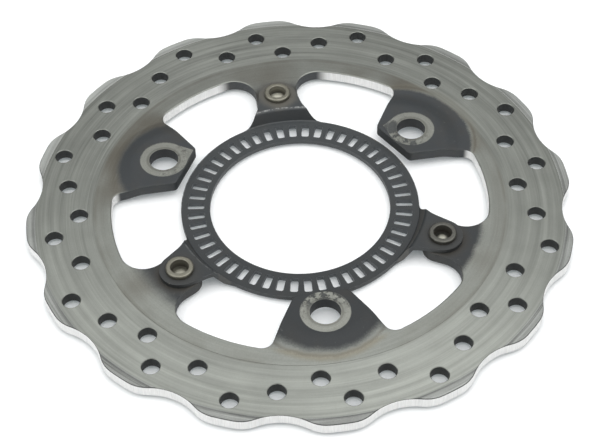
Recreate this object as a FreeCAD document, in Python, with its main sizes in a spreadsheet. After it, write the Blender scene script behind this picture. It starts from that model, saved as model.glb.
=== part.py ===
import FreeCAD, Part
import math
import os

import Sketcher

# A 220 mm rear brake disc for a motorcycle, with the sensor ring of its anti-lock brakes riveted on.
# The origin is on the wheel axis, at the plane of the mounting tabs' undersides, which bolt to the
# hub. +Z is the outboard side. Mounting holes are at 30, 150 and 270 degrees, rivets at 90, 210 and 330.

DIMENSIONS = [
    # the lobed rim
    ("crest_radius", 110.0, "mm, lobe crests"),
    ("valley_radius", 105.2, "mm, bottom of the scallops between the lobes"),
    ("shoulder_radius", 13.0, "mm, round shoulder of a lobe"),
    ("scallop_radius", 22.0, "mm, hollow between two lobes"),
    ("lobe_count", 16, "lobes round the rim"),
    ("lobe_phase", -1.4, "degrees, first lobe's crest"),
    ("plate_thickness", 5.0, "mm, unworn steel plate"),
    ("core_radius", 15.0, "mm, hole in the plate before its windows and opening are cut"),
    ("edge_break", 0.25, "mm, chamfer on the rim and the drilled holes"),
    # the swept brake track
    ("sweep_inner_radius", 83.0, "mm, inner limit of the pads' path"),
    ("sweep_outer_radius", 106.4, "mm, outer limit of the pads' path"),
    ("wear_depth", 0.12, "mm, worn off each face by the pads"),
    ("drill_radius", 3.5, "mm, drilled hole in the track"),
    ("drill_sectors", 8, "times the group of five holes is repeated"),
    ("drill_circle_a", 99.3, "mm, distance of hole a from the axis"),
    ("drill_circle_b", 91.4, "mm, distance of hole b from the axis"),
    ("drill_circle_c", 101.3, "mm, distance of hole c from the axis"),
    ("drill_circle_d", 94.9, "mm, distance of hole d from the axis"),
    ("drill_circle_e", 88.9, "mm, distance of hole e from the axis"),
    ("drill_angle_a", 2.1, "degrees, direction of hole a"),
    ("drill_angle_b", 11.4, "degrees, direction of hole b"),
    ("drill_angle_c", 21.1, "degrees, direction of hole c"),
    ("drill_angle_d", 30.7, "degrees, direction of hole d"),
    ("drill_angle_e", 40.7, "degrees, direction of hole e"),
    # windows and tabs
    ("window_radius", 76.0, "mm, outer wall of the six windows"),
    ("opening_margin", 48.0, "mm, how far in the window cut runs, past the tabs' ends"),
    ("fixing_circle_radius", 60.0, "mm, mounting holes and rivets"),
    ("tab_offset", 2.0, "mm, mounting tabs pressed up from the plate"),
    ("tab_side_angle", 30.0, "degrees, side of a mounting tab to its centre line"),
    ("tab_side_offset", 16.0, "mm, side line's distance from the axis"),
    ("tab_end", 50.0, "mm, flat inner end of a mounting tab from the axis"),
    ("tab_fillet", 4.5, "mm, window corner beside a mounting tab"),
    ("tab_corner", 2.0, "mm, rounding of a mounting tab's inner corners"),
    ("press_centre", 52.0, "mm, centre of the pressed step from the axis"),
    ("press_top_radius", 20.0, "mm, where the step reaches full height"),
    ("press_base_radius", 27.0, "mm, where the step starts from the plate"),
    ("press_bend", 12.0, "mm, rounding at the foot and the head of the step"),
    ("mount_hole_radius", 6.0, "mm"),
    ("spot_radius", 9.7, "mm, bolt head's seat"),
    ("spot_depth", 0.1, "mm"),
    ("contour_break", 0.6, "mm, rounded edge of the punched windows and tabs"),
    ("rivet_tab_half_width", 8.9, "mm"),
    ("rivet_tab_end", 53.0, "mm, inner end of a rivet tab from the axis"),
    ("rivet_tab_fillet", 9.5, "mm, window corner beside a rivet tab"),
    ("rivet_tab_corner", 6.5, "mm, rounding of a rivet tab's inner corners"),
    # the sensor ring
    ("ring_inner_radius", 36.5, "mm"),
    ("ring_outer_radius", 48.2, "mm"),
    ("ring_thickness", 2.0, "mm, sheet"),
    ("slot_count", 50, "sensor slots"),
    ("slot_phase", 5.75, "degrees, first slot"),
    ("slot_inner_radius", 38.8, "mm"),
    ("slot_outer_radius", 45.6, "mm"),
    ("slot_width", 3.1, "mm"),
    ("slot_corner", 0.7, "mm"),
    ("joggle_base_radius", 48.3, "mm, foot of the step up to an ear"),
    ("joggle_top_radius", 50.9, "mm, head of the step up to an ear"),
    ("bend_outside", 1.6, "mm, outside of a bend"),
    ("bend_inside", 0.6, "mm, inside of a bend"),
    ("ear_end_radius", 8.0, "mm, round end of an ear, about its rivet"),
    ("ear_side_angle", 10.0, "degrees, side of an ear to its centre line"),
    ("ear_foot_fillet", 12.0, "mm, ear into the ring's edge"),
    ("ear_sector", 54.0, "degrees, ear blank before it is trimmed"),
    ("ear_root", 1.0, "mm, ear blank's start outside the slots"),
    ("ear_spare", 1.4, "mm, ear blank past the finished ear"),
    ("trim_spare", 3.0, "mm, trimming cut past the ear blank"),
    ("trim_overlap", 2.0, "degrees, trimming cut past the ear blank"),
    # the rivets
    ("rivet_hole_radius", 4.05, "mm"),
    ("shank_radius", 4.0, "mm"),
    ("head_radius", 6.0, "mm, flat head under the disc"),
    ("head_height", 1.6, "mm"),
    ("head_easing", 0.6, "mm, rounded edge of the head"),
    ("rim_radius", 5.5, "mm, rolled rim on the ear"),
    ("rim_height", 1.8, "mm"),
    ("rim_easing", 0.7, "mm, rounded outer edge of the rim"),
    ("bore_radius", 3.5, "mm, hollow end of the rivet"),
    ("bore_easing", 0.35, "mm, rounded mouth of the hollow"),
    ("bore_depth", 3.8, "mm, from the top of the rim to the foot of the crown"),
    ("crown_height", 0.8, "mm, crowned bottom of the hollow"),
]

THREE_FOLD = 3
MOUNT_DIRECTION = 30.0      # degrees, first mounting hole
RIVET_DIRECTION = 90.0      # degrees, first rivet
FULL_TURN = 360.0
THROUGH = 40.0              # mm, length of a cut that passes right through
SAME_POINT = 1e-6           # mm, two ends nearer than this are one corner
NEAR = 1e-2                 # mm, allowance in picking an edge by its place
UPRIGHT = 1e-2              # allowance in telling whether a face or an edge stands upright

doc = FreeCAD.newDocument("brake_disc_rotor")


def make_sheet():
    sheet = doc.addObject("Spreadsheet::Sheet", "Sheet")
    sheet.Label = "dimensions"
    for row, (alias, value, note) in enumerate(DIMENSIONS, start=1):
        sheet.set("A%d" % row, note)
        sheet.set("B%d" % row, str(value))
        sheet.setAlias("B%d" % row, alias)
    doc.recompute()
    return sheet


sheet = make_sheet()
size = {alias: value for alias, value, note in DIMENSIONS}


def evaluate(expression):
    """The number that an expression on the sheet's cells gives."""
    result = sheet.evalExpression(expression)
    return float(getattr(result, "Value", result))


def at(radius, degrees, centre=(0.0, 0.0, 0.0)):
    """The point of a sketch at this distance and direction from centre."""
    angle = math.radians(degrees)
    return FreeCAD.Vector(centre[0] + radius * math.cos(angle), centre[1] + radius * math.sin(angle), 0)


def line(start, end):
    return Part.LineSegment(start, end)


def arc(centre, start, end):
    """The arc about centre that runs anticlockwise from start to end."""
    first = math.atan2(start.y - centre.y, start.x - centre.x)
    last = math.atan2(end.y - centre.y, end.x - centre.x)
    circle = Part.Circle(centre, FreeCAD.Vector(0, 0, 1), (start - centre).Length)
    return Part.ArcOfCircle(circle, first, last)


def towards(start, end, distance):
    """The point this far from start on the way to end."""
    return start + (end - start).normalize() * distance


ORIGIN = FreeCAD.Vector(0, 0, 0)
X_AXIS, Y_AXIS = -1, -2     # a sketch's own axes
START, END, CENTRE = 1, 2, 3


# ---- sketches ----

def origin_feature(body, role):
    return next(item for item in body.Origin.OriginFeatures if item.Role == role)


def new_sketch(body, name, role="XY_Plane", height=None, turn=None, shift=None):
    """A sketch on one of the body's origin planes, raised, turned or shifted by expressions."""
    sketch = body.newObject("Sketcher::SketchObject", name)
    sketch.AttachmentSupport = [(origin_feature(body, role), "")]
    sketch.MapMode = "FlatFace"
    if height:
        sketch.setExpression("AttachmentOffset.Base.z", height)
    if turn:
        sketch.setExpression("AttachmentOffset.Rotation.Angle", turn)
    if shift:
        sketch.setExpression("AttachmentOffset.Base.x", shift)
    return sketch


def hold(sketch, kind, *where):
    """A geometric constraint."""
    return sketch.addConstraint(Sketcher.Constraint(kind, *where))


def drive(sketch, kind, expression, *where):
    """A dimension that follows the sheet."""
    value = evaluate(expression)
    if kind == "Angle":
        value = math.radians(value)
    index = sketch.addConstraint(Sketcher.Constraint(kind, *where, value))
    sketch.setExpression("Constraints[%d]" % index, expression)


def join(sketch, first, second, smooth):
    """Joins two neighbouring pieces of an outline where their ends meet, smoothly or at a corner."""
    for first_end in (START, END):
        for second_end in (START, END):
            gap = sketch.getPoint(first, first_end) - sketch.getPoint(second, second_end)
            if gap.Length < SAME_POINT:
                kind = "Tangent" if smooth else "Coincident"
                return hold(sketch, kind, first, first_end, second, second_end)
    raise ValueError("pieces %d and %d of %s don't meet" % (first, second, sketch.Name))


def outline(sketch, pieces):
    """Draws a closed outline. pieces: (curve, whether it runs smoothly into the next one)."""
    ids = [sketch.addGeometry(curve, False) for curve, smooth in pieces]
    for place, (curve, smooth) in enumerate(pieces):
        join(sketch, ids[place], ids[(place + 1) % len(ids)], smooth)
    return ids


def polygon(sketch, corners):
    sides = [line(a, b) for a, b in zip(corners, corners[1:] + corners[:1])]
    return outline(sketch, [(side, False) for side in sides])


def circle(sketch, radius, centre=ORIGIN):
    """A circle of a driven radius; its centre is held by the caller unless it is the origin."""
    normal = FreeCAD.Vector(0, 0, 1)
    index = sketch.addGeometry(Part.Circle(centre, normal, evaluate(radius)), False)
    drive(sketch, "Radius", radius, index)
    if centre == ORIGIN:
        hold(sketch, "Coincident", index, CENTRE, X_AXIS, START)
    return index


# ---- features ----

def solid_volume(body):
    doc.recompute()
    return body.Shape.Volume


def pad(body, sketch, length, name):
    feature = body.newObject("PartDesign::Pad", name)
    feature.Profile = sketch
    feature.setExpression("Length", length)
    return feature


def pocket(body, sketch, name, depth=None, reverse=False):
    """A cut right through the body both ways, or to a depth from the sketch."""
    before = solid_volume(body)
    feature = body.newObject("PartDesign::Pocket", name)
    feature.Profile = sketch
    if depth:
        feature.setExpression("Length", depth)
        feature.Reversed = reverse
    else:
        feature.SideType = "Symmetric"
        feature.Length = THROUGH
    if solid_volume(body) > before - SAME_POINT:
        raise ValueError("%s cuts nothing" % name)
    return feature


def revolve(body, sketch, kind, name, angle=None):
    before = solid_volume(body) if kind == "Groove" else None
    feature = body.newObject("PartDesign::" + kind, name)
    feature.Profile = sketch
    feature.ReferenceAxis = (sketch, ["V_Axis"])
    if angle:
        feature.Midplane = True
        feature.setExpression("Angle", angle)
    else:
        feature.Angle = FULL_TURN
    if before and solid_volume(body) > before - SAME_POINT:
        raise ValueError("%s cuts nothing" % name)
    return feature


def repeat(body, features, count, name):
    """The features again and again round the Z axis."""
    pattern = body.newObject("PartDesign::PolarPattern", name)
    pattern.Originals = features
    pattern.Axis = (origin_feature(body, "Z_Axis"), [""])
    pattern.Angle = FULL_TURN
    if isinstance(count, str):
        pattern.setExpression("Occurrences", count)
    else:
        pattern.Occurrences = count
    body.Tip = pattern
    doc.recompute()
    return pattern


def dress(body, kind, chosen, amount, name):
    """A chamfer or fillet on the edges of the body that chosen(edge) picks."""
    doc.recompute()
    base = body.Tip
    names = ["Edge%d" % n for n, edge in enumerate(base.Shape.Edges, start=1) if chosen(edge)]
    if not names:
        raise ValueError("%s finds no edges" % name)
    feature = body.newObject("PartDesign::" + kind, name)
    feature.Base = (base, names)
    feature.setExpression("Radius" if kind == "Fillet" else "Size", amount)
    doc.recompute()
    return feature


def middle(edge):
    return edge.valueAt((edge.FirstParameter + edge.LastParameter) / 2)


def ring_edge(edge, radius, heights):
    """Whether an edge is a round one of this radius in one of these planes."""
    curve = edge.Curve
    if not isinstance(curve, Part.Circle) or abs(curve.Radius - radius) > NEAR:
        return False
    return any(abs(middle(edge).z - height) < NEAR for height in heights)


def is_wall(face):
    """Whether a face stands upright."""
    first, last, low, high = face.ParameterRange
    return abs(face.normalAt((first + last) / 2, (low + high) / 2).z) < UPRIGHT


def is_upright(edge):
    return abs(edge.tangentAt(edge.FirstParameter).z) > 1 - UPRIGHT


def new_body(label):
    body = doc.addObject("PartDesign::Body", label)
    body.Label = label
    return body


# ---- brake disc ----

PLATE_TOP = "Sheet.plate_thickness - Sheet.tab_offset"
PLATE_BOTTOM = "-Sheet.tab_offset"
EAR_INNER = "Sheet.slot_outer_radius + Sheet.ear_root"
EAR_OUTER = "Sheet.fixing_circle_radius + Sheet.ear_end_radius + Sheet.ear_spare"
TRIM_OUTER = EAR_OUTER + " + Sheet.trim_spare"
TRIM_EDGE = "90 - Sheet.ear_sector / 2 - Sheet.trim_overlap"


def draw_lobe(sketch):
    """One lobe of the rim, from scallop to scallop, as a sector of the plate."""
    half = 180.0 / size["lobe_count"]
    shoulder_reach = size["crest_radius"] - size["shoulder_radius"]
    scallop_reach = size["valley_radius"] + size["scallop_radius"]
    reach = size["shoulder_radius"] + size["scallop_radius"]
    turn = (shoulder_reach ** 2 + scallop_reach ** 2 - reach ** 2) / (2 * shoulder_reach * scallop_reach)
    crest_half = half - math.degrees(math.acos(turn))
    inner = size["core_radius"]

    def side(sign):
        shoulder_centre = at(shoulder_reach, sign * crest_half)
        scallop_centre = at(scallop_reach, sign * half)
        crest_end = at(size["crest_radius"], sign * crest_half)
        flank = towards(shoulder_centre, scallop_centre, size["shoulder_radius"])
        valley = at(size["valley_radius"], sign * half)
        return shoulder_centre, scallop_centre, crest_end, flank, valley

    up_shoulder, up_scallop, up_crest, up_flank, up_valley = side(1)
    low_shoulder, low_scallop, low_crest, low_flank, low_valley = side(-1)
    inner_up, inner_low = at(inner, half), at(inner, -half)
    crest, shoulder, scallop, cut, bore, low_cut, low_hollow, low_round = outline(sketch, [
        (arc(ORIGIN, low_crest, up_crest), True),
        (arc(up_shoulder, up_crest, up_flank), True),
        (arc(up_scallop, up_valley, up_flank), False),
        (line(up_valley, inner_up), False),
        (arc(ORIGIN, inner_low, inner_up), False),
        (line(inner_low, low_valley), False),
        (arc(low_scallop, low_flank, low_valley), True),
        (arc(low_shoulder, low_flank, low_crest), True),
    ])
    hold(sketch, "Coincident", crest, CENTRE, X_AXIS, START)
    hold(sketch, "Coincident", bore, CENTRE, X_AXIS, START)
    hold(sketch, "PointOnObject", X_AXIS, START, cut)
    hold(sketch, "PointOnObject", X_AXIS, START, low_cut)
    hold(sketch, "Symmetric", cut, START, low_cut, END, X_AXIS)
    hold(sketch, "PointOnObject", scallop, CENTRE, cut)
    hold(sketch, "PointOnObject", low_hollow, CENTRE, low_cut)
    hold(sketch, "Equal", shoulder, low_round)
    hold(sketch, "Equal", scallop, low_hollow)
    drive(sketch, "Radius", "Sheet.crest_radius", crest)
    drive(sketch, "Radius", "Sheet.shoulder_radius", shoulder)
    drive(sketch, "Radius", "Sheet.scallop_radius", scallop)
    drive(sketch, "Radius", "Sheet.core_radius", bore)
    drive(sketch, "Distance", "Sheet.valley_radius", cut, START, X_AXIS, START)
    drive(sketch, "Angle", "360 / Sheet.lobe_count", low_cut, START, cut, END)


def draw_press(sketch, base, head):
    """The cone of the pressed step, on one side of its own axis, from height base to head."""
    low, high = evaluate(base), evaluate(head)
    wide, narrow = size["press_base_radius"], size["press_top_radius"]
    corners = [
        FreeCAD.Vector(0, low, 0),
        FreeCAD.Vector(wide, low, 0),
        FreeCAD.Vector(narrow, high, 0),
        FreeCAD.Vector(0, high, 0),
    ]
    floor, slope, roof, axis = polygon(sketch, corners)
    hold(sketch, "PointOnObject", floor, START, Y_AXIS)
    hold(sketch, "Vertical", axis)
    hold(sketch, "Horizontal", floor)
    hold(sketch, "Horizontal", roof)
    drive(sketch, "Distance", "Sheet.press_base_radius", floor)
    drive(sketch, "Distance", "Sheet.press_top_radius", roof)
    drive(sketch, "DistanceY", base, X_AXIS, START, floor, START)
    drive(sketch, "Distance", "Sheet.tab_offset", axis)


def draw_window(sketch, hand):
    """One window, between a rivet tab on the Y axis and the mounting tab on its right (hand 1)
    or left (hand -1)."""
    outer = size["window_radius"]
    half_width = size["rivet_tab_half_width"]
    small, large = size["tab_fillet"], size["rivet_tab_fillet"]
    start = size["opening_margin"]
    slope = MOUNT_DIRECTION + size["tab_side_angle"]
    side = at(1.0, slope)
    normal = at(1.0, slope + 90.0)

    def flip(point):
        return FreeCAD.Vector(hand * point.x, point.y, 0)

    def curve(centre, first, last):
        ends = (flip(first), flip(last)) if hand > 0 else (flip(last), flip(first))
        return arc(flip(centre), *ends)

    foot = normal * -size["tab_side_offset"]
    tab_start = foot + side * math.sqrt(start ** 2 - size["tab_side_offset"] ** 2)
    inset = small - size["tab_side_offset"]
    small_centre = normal * inset + side * math.sqrt((outer - small) ** 2 - inset ** 2)
    tab_end = small_centre - normal * small
    outer_low = towards(ORIGIN, small_centre, outer)
    large_centre = FreeCAD.Vector(half_width + large, 0, 0)
    large_centre.y = math.sqrt((outer - large) ** 2 - large_centre.x ** 2)
    outer_high = towards(ORIGIN, large_centre, outer)
    rivet_top = FreeCAD.Vector(half_width, large_centre.y, 0)
    rivet_start = FreeCAD.Vector(half_width, math.sqrt(start ** 2 - half_width ** 2), 0)

    tab_side, tab_round, wall, rivet_round, rivet_side, closing = outline(sketch, [
        (line(flip(tab_start), flip(tab_end)), True),
        (curve(small_centre, tab_end, outer_low), True),
        (curve(ORIGIN, outer_low, outer_high), True),
        (curve(large_centre, outer_high, rivet_top), True),
        (line(flip(rivet_top), flip(rivet_start)), False),
        (line(flip(rivet_start), flip(tab_start)), False),
    ])
    hold(sketch, "Coincident", wall, CENTRE, X_AXIS, START)
    hold(sketch, "Vertical", rivet_side)
    drive(sketch, "Radius", "Sheet.window_radius", wall)
    drive(sketch, "Radius", "Sheet.tab_fillet", tab_round)
    drive(sketch, "Radius", "Sheet.rivet_tab_fillet", rivet_round)
    drive(sketch, "Distance", "Sheet.rivet_tab_half_width", X_AXIS, START, rivet_side)
    drive(sketch, "Distance", "Sheet.tab_side_offset", X_AXIS, START, tab_side)
    tab_angle = "%g + Sheet.tab_side_angle" % MOUNT_DIRECTION
    if hand < 0:
        tab_angle = "180 - (%s)" % tab_angle
    drive(sketch, "Angle", tab_angle, tab_side)
    drive(sketch, "Distance", "Sheet.opening_margin", rivet_side, END, X_AXIS, START)
    drive(sketch, "Distance", "Sheet.opening_margin", tab_side, START, X_AXIS, START)


def draw_opening(sketch):
    """The six-sided opening that ends the mounting tabs and the rivet tabs."""
    reaches = ["Sheet.tab_end", "Sheet.rivet_tab_end"] * THREE_FOLD
    turn = FULL_TURN / len(reaches)
    directions = [MOUNT_DIRECTION + turn * n for n in range(len(reaches))]
    lean = math.radians(turn)
    corners = []
    for n, reach in enumerate(reaches):
        near, far = evaluate(reaches[n - 1]), evaluate(reach)
        across = (far - near * math.cos(lean)) / math.sin(lean)
        corners.append(at(near, directions[n - 1]) + at(across, directions[n - 1] + 90.0))
    sides = polygon(sketch, corners)
    for side, reach, direction in zip(sides, reaches, directions):
        drive(sketch, "Distance", reach, X_AXIS, START, side)
        drive(sketch, "Angle", "%g" % (direction + 90.0), side)


def draw_drilling(sketch):
    """The five holes of one sector of the track."""
    for letter in "abcde":
        reach, turn = "Sheet.drill_circle_" + letter, "Sheet.drill_angle_" + letter
        hole = circle(sketch, "Sheet.drill_radius", at(evaluate(reach), evaluate(turn)))
        drive(sketch, "DistanceX", "%s * cos(%s * 1 deg)" % (reach, turn), X_AXIS, START, hole, CENTRE)
        drive(sketch, "DistanceY", "%s * sin(%s * 1 deg)" % (reach, turn), X_AXIS, START, hole, CENTRE)


def draw_fixing(sketch, radius, below):
    """One round hole on the fixing circle, on the Y axis, above or below the origin."""
    sign = "-1 * " if below else ""
    reach = evaluate(sign + "Sheet.fixing_circle_radius")
    hole = circle(sketch, radius, FreeCAD.Vector(0, reach, 0))
    hold(sketch, "PointOnObject", hole, CENTRE, Y_AXIS)
    drive(sketch, "DistanceY", sign + "Sheet.fixing_circle_radius", X_AXIS, START, hole, CENTRE)


def cut_track(body, name, height, reverse):
    """The shallow path that the pads have worn in one face."""
    sketch = new_sketch(body, name + "_sketch", height=height)
    circle(sketch, "Sheet.sweep_inner_radius")
    circle(sketch, "Sheet.sweep_outer_radius")
    pocket(body, sketch, name, depth="Sheet.wear_depth", reverse=reverse)


def make_brake_disc():
    body = new_body("brake_disc")
    lobe = new_sketch(body, "lobe_sketch", height=PLATE_BOTTOM, turn="Sheet.lobe_phase * 1 deg")
    draw_lobe(lobe)
    repeat(body, [pad(body, lobe, "Sheet.plate_thickness", "lobe")], "Sheet.lobe_count", "rim")

    def rim_edge(edge):
        point = middle(edge)
        return math.hypot(point.x, point.y) > size["valley_radius"] - NEAR

    dress(body, "Chamfer", rim_edge, "Sheet.edge_break", "rim_chamfer")

    raised = new_sketch(body, "press_top_sketch", role="YZ_Plane", shift="-Sheet.press_centre")
    draw_press(raised, PLATE_TOP, "Sheet.plate_thickness")
    repeat(body, [revolve(body, raised, "Revolution", "press_top")], THREE_FOLD, "pressed_tops")
    hollow = new_sketch(body, "press_under_sketch", role="YZ_Plane", shift="-Sheet.press_centre")
    draw_press(hollow, PLATE_BOTTOM, "0 * Sheet.tab_offset")
    repeat(body, [revolve(body, hollow, "Groove", "press_under")], THREE_FOLD, "pressed_undersides")

    def press_edge(edge):
        return any(ring_edge(edge, size[radius], (evaluate(PLATE_TOP), evaluate(PLATE_BOTTOM), 0.0,
                                                  size["plate_thickness"]))
                   for radius in ("press_top_radius", "press_base_radius"))

    dress(body, "Fillet", press_edge, "Sheet.press_bend", "press_bends")

    for hand, name in ((1, "window_right"), (-1, "window_left")):
        window = new_sketch(body, name + "_sketch")
        draw_window(window, hand)
        repeat(body, [pocket(body, window, name)], THREE_FOLD, name + "s")
    opening = new_sketch(body, "opening_sketch")
    draw_opening(opening)
    pocket(body, opening, "opening")

    def inner_corner(edge, direction):
        point = middle(edge)
        apart = (math.degrees(math.atan2(point.y, point.x)) - direction) % (FULL_TURN / THREE_FOLD)
        near = min(apart, FULL_TURN / THREE_FOLD - apart) < FULL_TURN / THREE_FOLD / 4
        inside = math.hypot(point.x, point.y) < size["rivet_tab_end"] + size["tab_corner"]
        return near and inside and is_upright(edge)

    dress(body, "Fillet", lambda edge: inner_corner(edge, MOUNT_DIRECTION), "Sheet.tab_corner", "tab_corners")
    dress(body, "Fillet", lambda edge: inner_corner(edge, RIVET_DIRECTION), "Sheet.rivet_tab_corner",
          "rivet_tab_corners")

    def punched_edge(edge):
        point = middle(edge)
        inside = math.hypot(point.x, point.y) < size["window_radius"] + NEAR
        upright = is_upright(edge)
        walls = [face for face in body.Tip.Shape.ancestorsOfType(edge, Part.Face) if is_wall(face)]
        return inside and not upright and len(walls) == 1

    dress(body, "Fillet", punched_edge, "Sheet.contour_break", "punched_edges")

    cut_track(body, "upper_track", PLATE_TOP, False)
    cut_track(body, "lower_track", PLATE_BOTTOM, True)

    drilling = new_sketch(body, "drilling_sketch")
    draw_drilling(drilling)
    repeat(body, [pocket(body, drilling, "drilling")], "Sheet.drill_sectors", "drilled_holes")
    mount = new_sketch(body, "mount_hole_sketch")
    draw_fixing(mount, "Sheet.mount_hole_radius", True)
    repeat(body, [pocket(body, mount, "mount_hole")], THREE_FOLD, "mount_holes")
    spot = new_sketch(body, "spot_sketch", height="Sheet.plate_thickness")
    draw_fixing(spot, "Sheet.spot_radius", True)
    repeat(body, [pocket(body, spot, "spot_face", depth="Sheet.spot_depth")], THREE_FOLD, "spot_faces")
    rivet_hole = new_sketch(body, "rivet_hole_sketch")
    draw_fixing(rivet_hole, "Sheet.rivet_hole_radius", False)
    repeat(body, [pocket(body, rivet_hole, "rivet_hole")], THREE_FOLD, "rivet_holes")

    top, bottom = evaluate(PLATE_TOP), evaluate(PLATE_BOTTOM)
    worn = (top - size["wear_depth"], bottom + size["wear_depth"])
    dress(body, "Chamfer", lambda edge: ring_edge(edge, size["drill_radius"], worn),
          "Sheet.edge_break", "hole_chamfers")
    return body


# ---- sensor ring ----

def joggle_section():
    """The corners of the sheet's section through an ear, from the ring's plane up over the tab."""
    low, high = evaluate(PLATE_BOTTOM), evaluate(PLATE_TOP)
    thick = size["ring_thickness"]
    inner, outer = evaluate(EAR_INNER), evaluate(EAR_OUTER)
    foot = FreeCAD.Vector(size["joggle_base_radius"], low + thick, 0)
    head = FreeCAD.Vector(size["joggle_top_radius"], high + thick, 0)
    rise = (head - foot).normalize()
    across = FreeCAD.Vector(rise.y, -rise.x, 0) * thick

    def under(point, height):
        below = point + across
        return below + rise * ((height - below.y) / rise.y)

    return [
        FreeCAD.Vector(inner, low + thick, 0),
        foot,
        head,
        FreeCAD.Vector(outer, high + thick, 0),
        FreeCAD.Vector(outer, high, 0),
        under(head, high),
        under(foot, low),
        FreeCAD.Vector(inner, low, 0),
    ]


def draw_joggle(sketch):
    """The section of an ear's blank, which is turned round the Z axis."""
    flat, step, ear, tip, ear_under, step_under, flat_under, back = polygon(sketch, joggle_section())
    for side in (flat, ear, ear_under, flat_under):
        hold(sketch, "Horizontal", side)
    for side in (tip, back):
        hold(sketch, "Vertical", side)
    hold(sketch, "Parallel", step, step_under)
    drive(sketch, "Distance", "Sheet.ring_thickness", step_under, START, step)
    drive(sketch, "Distance", "Sheet.ring_thickness", tip)
    drive(sketch, "Distance", "Sheet.ring_thickness", back)
    drive(sketch, "DistanceX", "Sheet.joggle_base_radius", X_AXIS, START, step, START)
    drive(sketch, "DistanceX", "Sheet.joggle_top_radius", X_AXIS, START, step, END)
    drive(sketch, "DistanceX", EAR_INNER, X_AXIS, START, flat, START)
    drive(sketch, "DistanceX", EAR_OUTER, X_AXIS, START, ear, END)
    drive(sketch, "DistanceY", PLATE_BOTTOM, X_AXIS, START, back, START)
    drive(sketch, "DistanceY", PLATE_TOP, X_AXIS, START, tip, END)


def draw_ear_trim(sketch):
    """What is cut away round the ear on the Y axis, down to the ring's edge."""
    ring, outer = size["ring_outer_radius"], evaluate(TRIM_OUTER)
    end, fillet, lean = size["ear_end_radius"], size["ear_foot_fillet"], size["ear_side_angle"]
    rivet = FreeCAD.Vector(0, size["fixing_circle_radius"], 0)
    edge = evaluate(TRIM_EDGE)

    # the right-hand side; the left-hand one mirrors it
    touch = at(end, lean, rivet)
    down = at(1.0, lean - 90.0)
    start = touch + at(fillet, lean)
    along = start.dot(down)
    travel = -along - math.sqrt(along ** 2 - start.dot(start) + (ring + fillet) ** 2)
    centre = start + down * travel
    side_end = touch + down * travel
    ring_touch = towards(ORIGIN, centre, ring)

    def flip(point):
        return FreeCAD.Vector(-point.x, point.y, 0)

    ring_far, outer_far = at(ring, edge), at(outer, edge)
    pieces = outline(sketch, [
        (arc(ORIGIN, ring_far, ring_touch), True),
        (arc(centre, side_end, ring_touch), True),
        (line(side_end, touch), True),
        (arc(rivet, touch, flip(touch)), True),
        (line(flip(side_end), flip(touch)), True),
        (arc(flip(centre), flip(ring_touch), flip(side_end)), True),
        (arc(ORIGIN, flip(ring_touch), flip(ring_far)), False),
        (line(flip(ring_far), flip(outer_far)), False),
        (arc(ORIGIN, outer_far, flip(outer_far)), False),
        (line(ring_far, outer_far), False),
    ])
    rim, foot, side, tip, far_side, far_foot, far_rim, far_cut, rim_outer, cut = pieces
    for round_piece in (rim, far_rim, rim_outer):
        hold(sketch, "Coincident", round_piece, CENTRE, X_AXIS, START)
    hold(sketch, "PointOnObject", tip, CENTRE, Y_AXIS)
    hold(sketch, "PointOnObject", X_AXIS, START, cut)
    hold(sketch, "PointOnObject", X_AXIS, START, far_cut)
    hold(sketch, "Equal", rim, far_rim)
    hold(sketch, "Equal", foot, far_foot)
    drive(sketch, "DistanceY", "Sheet.fixing_circle_radius", X_AXIS, START, tip, CENTRE)
    drive(sketch, "Radius", "Sheet.ring_outer_radius", rim)
    drive(sketch, "Radius", "Sheet.ear_foot_fillet", foot)
    drive(sketch, "Radius", "Sheet.ear_end_radius", tip)
    drive(sketch, "Radius", TRIM_OUTER, rim_outer)
    drive(sketch, "Angle", TRIM_EDGE, cut)
    drive(sketch, "Angle", "180 - (%s)" % TRIM_EDGE, far_cut)
    drive(sketch, "Angle", "90 + Sheet.ear_side_angle", side)
    drive(sketch, "Angle", "90 - Sheet.ear_side_angle", far_side)


def draw_slot(sketch):
    """One sensor slot, on the sketch's own X axis."""
    near, far = size["slot_inner_radius"], size["slot_outer_radius"]
    half, corner = size["slot_width"] / 2, size["slot_corner"]

    def point(x, y):
        return FreeCAD.Vector(x, y, 0)

    pieces = outline(sketch, [
        (line(point(near + corner, -half), point(far - corner, -half)), True),
        (arc(point(far - corner, corner - half), point(far - corner, -half), point(far, corner - half)), True),
        (line(point(far, corner - half), point(far, half - corner)), True),
        (arc(point(far - corner, half - corner), point(far, half - corner), point(far - corner, half)), True),
        (line(point(far - corner, half), point(near + corner, half)), True),
        (arc(point(near + corner, half - corner), point(near + corner, half), point(near, half - corner)), True),
        (line(point(near, half - corner), point(near, corner - half)), True),
        (arc(point(near + corner, corner - half), point(near, corner - half), point(near + corner, -half)), True),
    ])
    lower, corner_a, outer_end, corner_b, upper, corner_c, inner_end, corner_d = pieces
    for side in (lower, upper):
        hold(sketch, "Horizontal", side)
    for side in (outer_end, inner_end):
        hold(sketch, "Vertical", side)
    for other in (corner_b, corner_c, corner_d):
        hold(sketch, "Equal", corner_a, other)
    drive(sketch, "Radius", "Sheet.slot_corner", corner_a)
    drive(sketch, "DistanceX", "Sheet.slot_outer_radius", X_AXIS, START, outer_end, START)
    drive(sketch, "DistanceX", "Sheet.slot_inner_radius", X_AXIS, START, inner_end, START)
    drive(sketch, "DistanceY", "Sheet.slot_width / 2", X_AXIS, START, upper, START)
    drive(sketch, "DistanceY", "-Sheet.slot_width / 2", X_AXIS, START, lower, START)


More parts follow.
